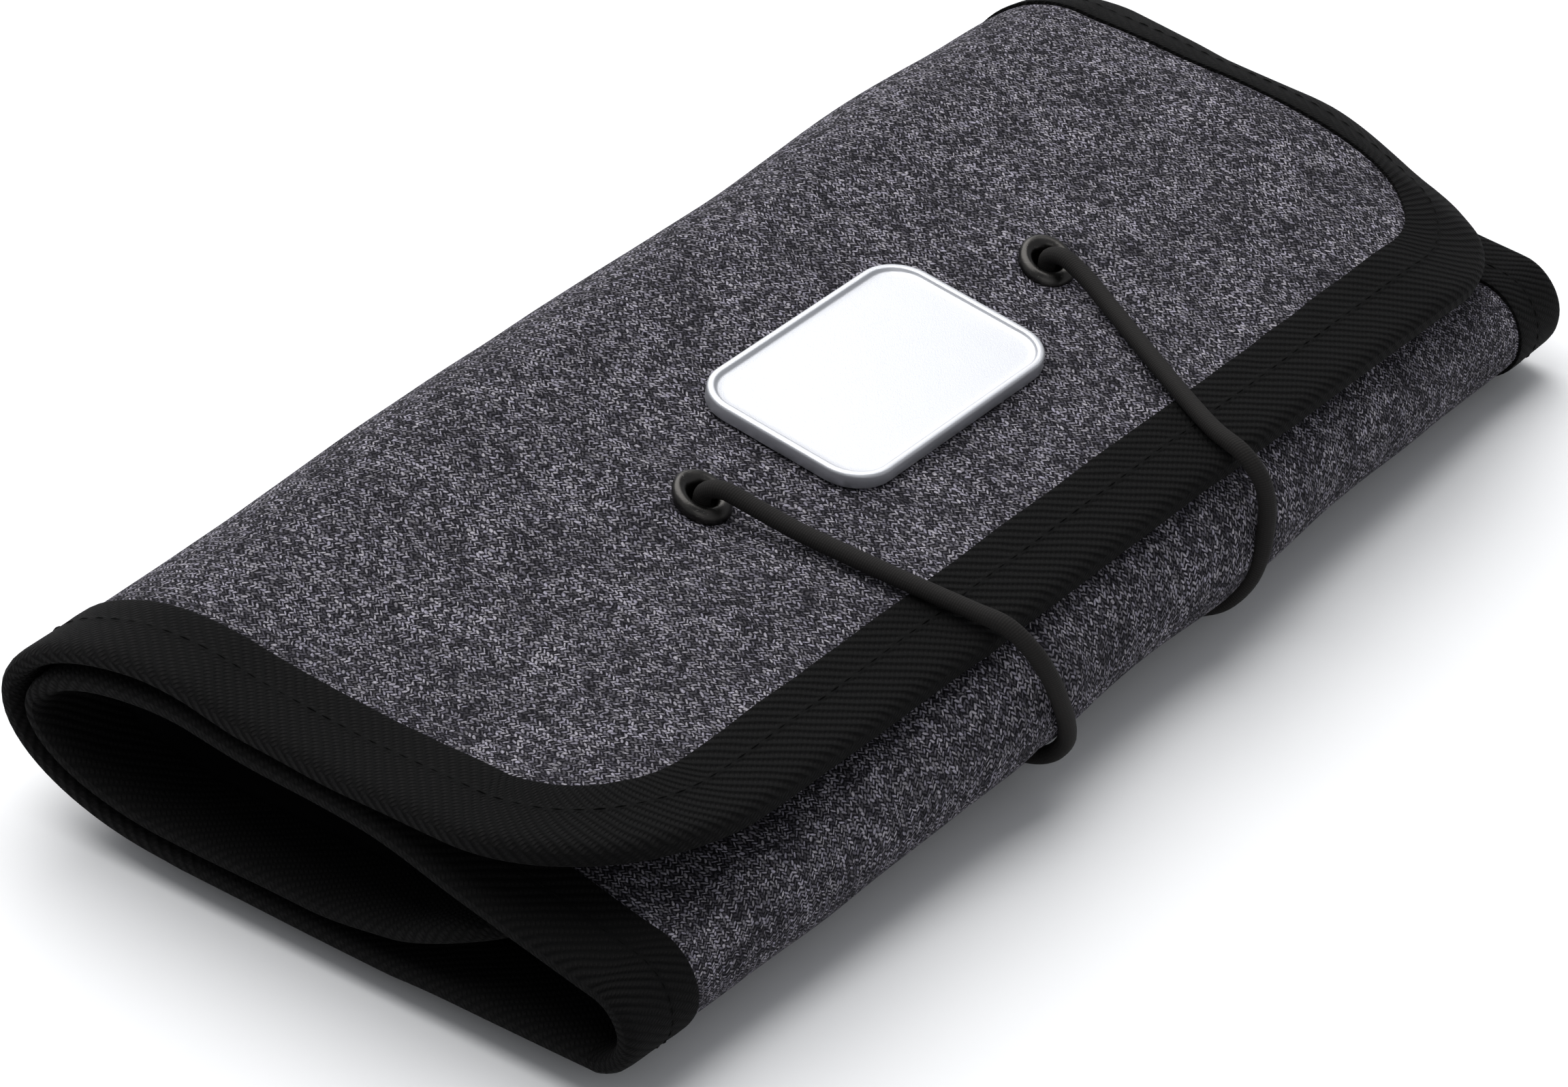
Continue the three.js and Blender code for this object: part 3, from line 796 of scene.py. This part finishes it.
def herringbone_tape():
    """Black binding tape: one-way twill ribs at 45 degrees, each a row of small knots."""
    f = Finish("herringbone_tape", roughness=0.9, Specular_IOR_Level=0.12)
    along, around, flat = f.flat()
    slant = f.times(f.plus(along, around), math.sqrt(0.5))
    slant = f.plus(slant, f.centred(f.noise(flat, 9, 2), 1.0))
    run = f.math("DIVIDE", slant, TWILL_PITCH)
    rib = f.math("ABSOLUTE", f.math("SUBTRACT", f.math("FRACT", run), 0.5))
    rib = f.ramp(rib, 0.5, 0.02)
    cross = f.times(f.math("SUBTRACT", along, around), math.sqrt(0.5))
    knots = f.plus(f.math("DIVIDE", cross, 0.78), f.times(f.math("FLOOR", run), 0.5))
    knots = f.wave(knots, operation="COSINE")
    raised = f.times(rib, f.ramp(knots, 0.0, 0.8, 0.5, 1.0))
    # Along the seam the ribs are lowered and the colour darkened: the dark line there is painted shade
    # in the stitch groove.
    from_seam = f.math("ABSOLUTE", f.math("SUBTRACT", around, STITCH_INSET + 0.6))
    raised = f.times(raised, f.ramp(from_seam, 0.25, 0.9, 0.35, 1.0))
    fuzz = f.ramp(f.noise(flat, 0.25, 3, 0.7), 0.25, 0.75, 0.7, 1.2)
    f.colour(f.mix(f.times(raised, fuzz, clamp=True), srgb(2, 2, 2), srgb(12, 11, 11)))
    f.bump(f.plus(raised, f.times(f.noise(flat, 0.3, 2), 0.2)), 0.42)
    return f.material


def nylon_lining():
    """Black plain-weave nylon."""
    f = Finish("nylon_lining", roughness=0.75, Specular_IOR_Level=0.2)
    x, s, flat = f.flat()
    warp, weft = (f.math("SINE", f.times(v, 2 * math.pi / 0.42)) for v in (x, s))
    weave = f.plus(f.times(f.times(warp, weft), 0.5), 0.5)
    worn = f.noise(flat, 14, 4)
    f.colour(f.mix(weave, srgb(6, 6, 7), f.mix(worn, srgb(13, 13, 14), srgb(19, 19, 20))))
    f.roughness(f.ramp(worn, 0.3, 0.7, 0.62, 0.82))
    f.bump(weave, 0.06)
    return f.material


def solar_laminate():
    """Dark blue cells with silver fingers and busbars under a matt, finely dimpled film."""
    f = Finish("solar_laminate", roughness=0.3, Coat_Weight=0.6, Coat_Roughness=0.22)
    x, s, flat = f.flat()
    cell, gap = 26.0, 1.1
    column, row = (f.math("MODULO", f.plus(v, 2000.0), cell) for v in (x, s))
    edge = None
    for v in (column, row):
        inside = f.times(f.ramp(v, gap / 2, gap),
                         f.ramp(v, cell - gap, cell - gap / 2, 1.0, 0.0))
        edge = inside if edge is None else f.times(edge, inside)
    finger = f.ramp(f.math("SINE", f.times(s, 2 * math.pi / 1.3)), 0.93, 0.99)
    busbar = f.math("ABSOLUTE", f.math("SUBTRACT", f.math("MODULO", column, cell / 2), cell / 4))
    silver = f.math("MAXIMUM", f.times(finger, 0.55), f.ramp(busbar, 0.65, 0.45))
    grain = f.mix(f.noise(flat, 3.5, 3), srgb(14, 20, 44), srgb(24, 34, 68))
    cells = f.mix(silver, grain, srgb(150, 154, 160))
    f.colour(f.mix(edge, srgb(18, 18, 20), cells))
    f.roughness(f.ramp(f.noise(flat, 6, 3), 0.3, 0.7, 0.24, 0.4))
    f.bump(f.noise(flat, 0.7, 1), 0.05)
    return f.material


def elastic_sleeve():
    """Black elastic: a finely knitted sleeve, almost smooth."""
    f = Finish("elastic_sleeve", roughness=0.85, Specular_IOR_Level=0.2)
    along, around, flat = f.flat()
    twist = f.plus(f.math("DIVIDE", along, 0.42), f.math("DIVIDE", around, 2.4))
    rib = f.wave(twist)
    strand = f.math("SINE", f.times(around, 2 * math.pi / 0.524))
    knit = f.times(rib, f.ramp(strand, -1.0, 1.0, 0.6, 1.0))
    fuzz = f.noise(flat, 0.5, 3, 0.7)
    f.colour(f.mix(f.times(knit, fuzz), srgb(20, 19, 18), srgb(40, 37, 36)))
    f.bump(f.plus(knit, fuzz), 0.035)
    return f.material


def satin_aluminium():
    """Bead-blasted aluminium, with faint handling marks."""
    f = Finish("satin_aluminium", metallic=0.85, roughness=0.4)
    place_mm = f.position()
    smudge = f.noise(place_mm, 11, 4)
    grain = f.noise(place_mm, 0.22, 2, 0.6)
    f.colour(f.mix(f.times(smudge, grain), srgb(194, 195, 199), srgb(204, 205, 208)))
    marks = f.times(f.scratches(place_mm), 0.07)
    f.roughness(f.plus(f.ramp(smudge, 0.3, 0.7, 0.46, 0.5), marks))
    f.bump(f.plus(grain, f.times(marks, -0.6)), 0.022)
    return f.material


def dark_metal(name, dark, pale, roughness):
    """Plated steel: cloudy plating, scratches, and paler metal where it is scratched."""
    f = Finish(name, metallic=1.0, roughness=roughness)
    place_mm = f.position()
    cloud = f.noise(place_mm, 3.5, 4)
    marks = f.scratches(place_mm, 0.35)
    f.colour(f.mix(f.times(marks, 0.12), f.mix(cloud, dark, pale), srgb(150, 148, 145)))
    f.roughness(f.plus(f.ramp(cloud, 0.3, 0.7, roughness - 0.07, roughness + 0.08),
                       f.times(marks, 0.15)))
    f.bump(f.math("SUBTRACT", f.noise(place_mm, 0.4, 2), marks), 0.01)
    return f.material


def moulded_plastic(name, dark, pale, grain_size):
    """Spark-textured black plastic, shinier where it is rubbed."""
    f = Finish(name, roughness=0.5)
    place_mm = f.position()
    grain = f.noise(place_mm, grain_size, 2, 0.6)
    rubbed = f.noise(place_mm, 8, 3)
    f.colour(f.mix(f.times(grain, rubbed), dark, pale))
    f.roughness(f.ramp(rubbed, 0.3, 0.7, 0.42, 0.62))
    f.bump(grain, 0.05)
    return f.material


def circuit_board():
    """Green solder mask with copper tracks and small pads under it."""
    f = Finish("circuit_board", roughness=0.35, Coat_Weight=0.4)
    place_mm = f.position()
    split = f.node("SeparateXYZ")
    f.feed(split.inputs[0], place_mm)
    wave = f.times(f.math("FLOOR", f.math("DIVIDE", split.outputs[1], 3.0)), 1.7)
    track = f.math("ABSOLUTE", f.math("SINE", f.plus(split.outputs[0], wave)))
    copper = f.ramp(track, 0.22, 0.12)
    pads = f.ramp(f.math("FRACT", f.math("DIVIDE", split.outputs[1], 2.54)), 0.12, 0.06)
    f.colour(f.mix(pads, f.mix(copper, srgb(16, 62, 34), srgb(38, 98, 52)), srgb(186, 176, 120)))
    f.bump(f.plus(copper, f.times(f.noise(place_mm, 0.8, 2), 0.2)), 0.04)
    return f.material


def woven_ribbon():
    """Conductive ribbon: fine metal threads in a dark woven band."""
    f = Finish("woven_ribbon", metallic=0.2, roughness=0.55)
    x, s, flat = f.flat()
    thread, weft = f.wave(x, 0.9), f.wave(s, 0.5)
    f.colour(f.mix(f.times(thread, weft), srgb(26, 24, 23), srgb(96, 88, 76)))
    f.bump(f.times(thread, f.ramp(f.noise(flat, 0.6, 2), 0.3, 0.7, 0.7, 1.0)), 0.07)
    return f.material


def grey_board():
    """Pressed grey board, fibrous."""
    f = Finish("grey_board", roughness=0.9)
    place_mm = f.position()
    fibre = f.noise(f.stretched(place_mm, 1, 0.25, 1), 0.7, 5, 0.7)
    f.colour(f.mix(fibre, srgb(66, 66, 70), srgb(118, 117, 119)))
    f.bump(fibre, 0.06)
    return f.material


def pale_floor():
    """The studio's paper floor."""
    f = Finish("pale_floor", roughness=0.9)
    place_mm = f.position()
    f.colour(f.mix(f.noise(place_mm, 260, 3), srgb(226, 226, 227), srgb(231, 231, 231)))
    return f.material


# ---- camera --------------------------------------
def make_camera():
    """A long lens, looking down on the front left end."""
    place_mm = Vector((-689.6, -505.3, 571.7))
    heading, down, roll = (math.radians(degrees) for degrees in (53.04, 33.39, 1.21))
    level = Vector((math.sin(heading), math.cos(heading), 0))
    along = level * math.cos(down) - Vector((0, 0, math.sin(down)))
    above = level * math.sin(down) + Vector((0, 0, math.cos(down)))
    right = along.cross(above)
    camera_right = right * math.cos(roll) + above * math.sin(roll)
    camera_up = above * math.cos(roll) - right * math.sin(roll)
    data = bpy.data.cameras.new("camera")
    data.sensor_width = 36
    data.lens = 143.0
    data.clip_end = 60
    camera = bpy.data.objects.new("camera", data)
    turn = Matrix((camera_right, camera_up, -along)).transposed().to_4x4()
    camera.matrix_world = Matrix.Translation(place_mm * MM) @ turn
    bpy.context.scene.collection.objects.link(camera)
    bpy.context.scene.camera = camera


# ---- cord ----------------------------------------
def make_cord():
    """The elastic loop: out of one eyelet, round the front, under the keeper and back."""
    path = smooth_path(CORD_ROUTE)
    cord = soften(tube("elastic_loop", path, CORD_D / 2, 18, elastic_sleeve()), 50)
    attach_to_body(cord, "flap")
    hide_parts("elastic_cord")
    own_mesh(cord)


# ---- pieces --------------------------------------
FLAP_FRAME = Matrix.Translation(Vector((0, *FLAP_TOP)) * MM) @ Matrix.Rotation(FLAP_SLOPE, 4, "X")
EYELETS = [(-EYELET_X, -FITTING_LINE), (EYELET_X, -FITTING_LINE)]
CLOTH_HOLE, BOARD_HOLE = 3.3, 3.4  # radii of the holes for the eyelets' barrels
CLOTH_INSET = 1.4  # from the bound edge to the cloth inside the tape
BOARD_S = (20.0, 82.0)
BOARD_INSET = 22
BOARD_DEPTHS = (1.2, 1.8)
LEAD_X = (60, 72)
BADGE_SIZE = (54.0, 35.5, 7.5)
BADGE_SHIFT = -1.2
MODULE_X = 106.0
SPANS = {
    "flap": (0.0, SPINE_MIDDLE),
    "back": (SPINE_MIDDLE, BASE_START),
    "base": (BASE_START, FLAT_LENGTH),
}
STANDS_FOR = {
    "flap": ["flap", "flap_fold"],
    "back": ["back_spine"],
    "base": ["bottom", "front_fold", "middle", "inner_fold", "inner"],
}


def attach(obj, part):
    """Rides on the base; a flap or back piece only has its place baked into its mesh."""
    if part == "flap":
        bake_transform(obj)
    elif part == "back":
        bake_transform(obj)
    else:
        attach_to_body(obj, "base")


def stitch_line(name, walk, part, thread):
    """The seam on the tape's outer face."""
    outside = stitches(name, walk, TAPE - STITCH_INSET, TAPE_THICK - 0.04, thread)
    attach(outside, part)
    return outside


def make_bound_sheets():
    """Cover, lining, tape and stitching, each split where the back fold bends."""
    woven, nylon, herringbone = woven_heather(), nylon_lining(), herringbone_tape()
    thread = dark_thread()
    walks = {
        "flap": {"": edge_walk(0.0, SPINE_MIDDLE)},
        "back": {
            "_left": side_walk(-1, SPINE_MIDDLE, BASE_START),
            "_right": side_walk(1, BASE_START, SPINE_MIDDLE),
        },
        "base": {"": edge_walk(FLAT_LENGTH, BASE_START)},
    }
    for part, (start, end) in SPANS.items():
        trims = []
        for side, walk in walks[part].items():
            bound = soften(tape(f"tape_{part}{side}", walk, herringbone))
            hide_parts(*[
                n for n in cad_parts
                if "binding" in n and n.split("_binding")[0] in STANDS_FOR[part]
                and (not side or n.endswith(side))])
            attach(bound, part)
            trims += [bound, stitch_line(f"stitching_{part}{side}", walk, part, thread)]
        cover = cloth(f"cover_{part}", start, end, (0, SHELL), CLOTH_INSET, woven)
        inner = cloth(
            f"lining_{part}", start, end, (lining_face, sheet_depth), CLOTH_INSET, nylon)
        for sheet, layer_name, slot in ((cover, "shell", "woven"), (inner, "lining", "lining")):
            if part == "flap":
                cut_holes(sheet, CLOTH_HOLE)
            soften(sheet)
            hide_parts(*[f"{n}_{layer_name}" for n in STANDS_FOR[part]])
            attach(sheet, part)


def lining_face(s):
    """Depth of the side of the lining that faces the cover."""
    return sheet_depth(s) - 0.9


def dark_thread():
    """Black sewing thread."""
    f = Finish("dark_thread", roughness=0.95, Specular_IOR_Level=0.1)
    place_mm = f.position()
    twist = f.noise(place_mm, 0.25, 2)
    f.colour(f.mix(twist, srgb(2, 2, 2), srgb(12, 12, 11)))
    f.bump(twist, 0.05)
    return f.material


def make_board():
    """The board that stiffens the flap, between its cover and its lining."""
    board = cloth("flap_board", *BOARD_S, BOARD_DEPTHS, BOARD_INSET, grey_board())
    cut_holes(board, BOARD_HOLE)
    soften(board)
    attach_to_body(board, "flap")
    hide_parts("flap_stiffener")


def make_modules():
    """Three solar modules on the lining, and the two ribbons that join them."""
    laminate, ribbon = solar_laminate(), woven_ribbon()
    bottom = (EDGES[2] + 10, EDGES[2] + 74)
    middle = (EDGES[4] + 9, EDGES[4] + 74)
    inner = (EDGES[6] + 9, EDGES[6] + 61)
    case_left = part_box("regulator_case_lower")[0][0] / MM
    depths = (SHEET + 0.25, SHEET + 1.45)
    for name, (start, end), right in (
            ("bottom", bottom, MODULE_X),
            ("middle", middle, MODULE_X),
            ("inner", inner, case_left - 2)):
        module = soften(cloth(
            f"module_{name}", start, end, depths, 0, laminate, x_range=(-MODULE_X, right)))
        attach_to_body(module, "base")
        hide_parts(f"{name}_solar_module")
    for name, start, end in (("front", bottom[1] + 0.5, middle[0] - 0.5),
                             ("inner", middle[1] + 0.5, inner[0] - 0.5)):
        lead = soften(cloth(f"ribbon_{name}", start, end, (SHEET + 0.2, SHEET + 0.6), 0, ribbon,
                            x_range=LEAD_X, columns=8))
        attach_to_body(lead, "base")
        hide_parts(f"{name}_lead")


def make_badge():
    """A blank satin plate with a thin raised rim."""
    dx, dy, corner = BADGE_SIZE
    profile = [
        (0.5, 0.15), (0.15, 0.2), (0, 0.4), (0, 2.3), (0.06, 2.55), (0.2, 2.78), (0.42, 2.9),
        (1.05, 2.92), (1.25, 2.86), (1.38, 2.7), (1.5, 2.42), (1.66, 2.3), (1.9, 2.25), (3.0, 2.24),
        (6.0, 2.24),
    ]
    badge = soften(tray("badge_plate", dx, dy, corner, profile, satin_aluminium()), 50)
    on_flap(badge, BADGE_SHIFT, -FITTING_LINE)
    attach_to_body(badge, "flap")
    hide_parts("badge")


def make_eyelets():
    """Rolled eyelets that tip towards the elastic's pull, with a barrel through the flap."""
    metal = dark_metal("gunmetal", srgb(50, 49, 48), srgb(76, 74, 72), 0.33)
    profile = [
        (2.5, -3.7), (2.6, -3.8), (2.9, -3.8), (3.0, -3.6), (3.0, -0.7), (4.7, -0.7), (4.95, -0.3),
        (5.0, 0.4), (4.88, 0.95), (4.6, 1.35), (4.2, 1.62), (3.75, 1.72), (3.3, 1.62), (2.9, 1.35),
        (2.62, 0.95), (2.5, 0.4), (2.5, -0.6),
    ]
    for side, (x, y), (_, pull_x) in zip(("left", "right"), EYELETS, EYELET_PULLS):
        eyelet = soften(lathe(f"eyelet_ring_{side}", profile, metal), 50)
        pull_y = -math.sqrt(1 - pull_x ** 2)
        for vertex in eyelet.data.vertices:
            if vertex.co.z > -0.8 * MM:
                vertex.co.z -= EYELET_TILT * (vertex.co.x * pull_x + vertex.co.y * pull_y)
        on_flap(eyelet, x, y)
        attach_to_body(eyelet, "flap")
        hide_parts(f"eyelet_{side}")
    return metal


def make_keeper(material):
    """A tab of tape sewn under the bottom panel, with the loop's crossbar in it."""
    y = [-31, -33, -36, -39, -44, -47, -50, -52]
    low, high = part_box("loop_keeper")
    x = np.linspace(low.x, high.x, 9) / MM
    drop = [2.6, 1.9, 1.0, 0.45, 0.45, 1.2, 3.6, 5.6]
    strip = [(px, py, pz) for py, pz in zip(y, drop) for px in x]
    lifted = [(px, py, pz + 0.4) for px, py, pz in strip]
    faces = sheet_faces(len(y), len(x))
    flat = [(px, py) for px, py, _ in strip]
    keeper = soften(make_object("keeper_tab", lifted + strip, faces, flat + flat, material))
    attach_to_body(keeper, "base")
    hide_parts("loop_keeper")


def finish_cad_nodes(metal):
    """Better materials on the CAD pieces that stay as they are."""
    plastic = moulded_plastic("case_plastic", srgb(18, 18, 19), srgb(46, 46, 48), 0.35)
    stopper = moulded_plastic("stop_plastic", srgb(14, 14, 15), srgb(38, 38, 40), 0.2)
    steel = dark_metal("socket_steel", srgb(150, 150, 152), srgb(190, 190, 192), 0.28)
    finishes = {
        "regulator_case_lower": plastic, "regulator_case_upper": plastic,
        "regulator_board": circuit_board(), "usb_socket": steel,
        "eyelet_washer_left": metal, "eyelet_washer_right": metal,
        "cord_stop_left": stopper, "cord_stop_right": stopper,
    }
    for name, material in finishes.items():
        for material_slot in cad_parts[name].material_slots:
            material_slot.material = material


# ---- stage ---------------------------------------
def make_stage():
    """A pale floor, a dim sky and three soft lights."""
    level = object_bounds()[0].z / MM - 0.1
    far = 15000
    corners = [(-far, -far, level), (far, -far, level), (far, far, level), (-far, far, level)]
    floor = make_object("floor", corners, [(0, 1, 2, 3)], None, pale_floor())
    world = bpy.data.worlds.new("studio")
    bpy.context.scene.world = world
    world.use_nodes = True
    sky = world.node_tree.nodes["Background"]
    sky.inputs["Color"].default_value = (0.92, 0.95, 1.0, 1)
    sky.inputs["Strength"].default_value = 0.42
    add_light("softbox_top", (0.1, 0.45, 1.3), 1.7, 30)
    add_light("softbox_back", (0.8, 0.8, 0.75), 1.0, 2.6)
    add_light("softbox_front", (-0.9, -1.3, 0.9), 0.9, 2)


def add_light(name, place_m, size, power):
    """A square soft light, turned to the origin."""
    data = bpy.data.lights.new(name, "AREA")
    data.shape = "SQUARE"
    data.size = size
    data.energy = power
    light = bpy.data.objects.new(name, data)
    light.location = place_m
    light.rotation_euler = (-Vector(place_m)).to_track_quat("-Z", "Y").to_euler()
    bpy.context.scene.collection.objects.link(light)


make_camera()
make_cord()
make_bound_sheets()
make_board()
make_modules()
make_badge()
gunmetal = make_eyelets()
make_keeper(bpy.data.materials["herringbone_tape"])
finish_cad_nodes(gunmetal)
make_stage()
bpy.context.scene.view_settings.view_transform = "Standard"
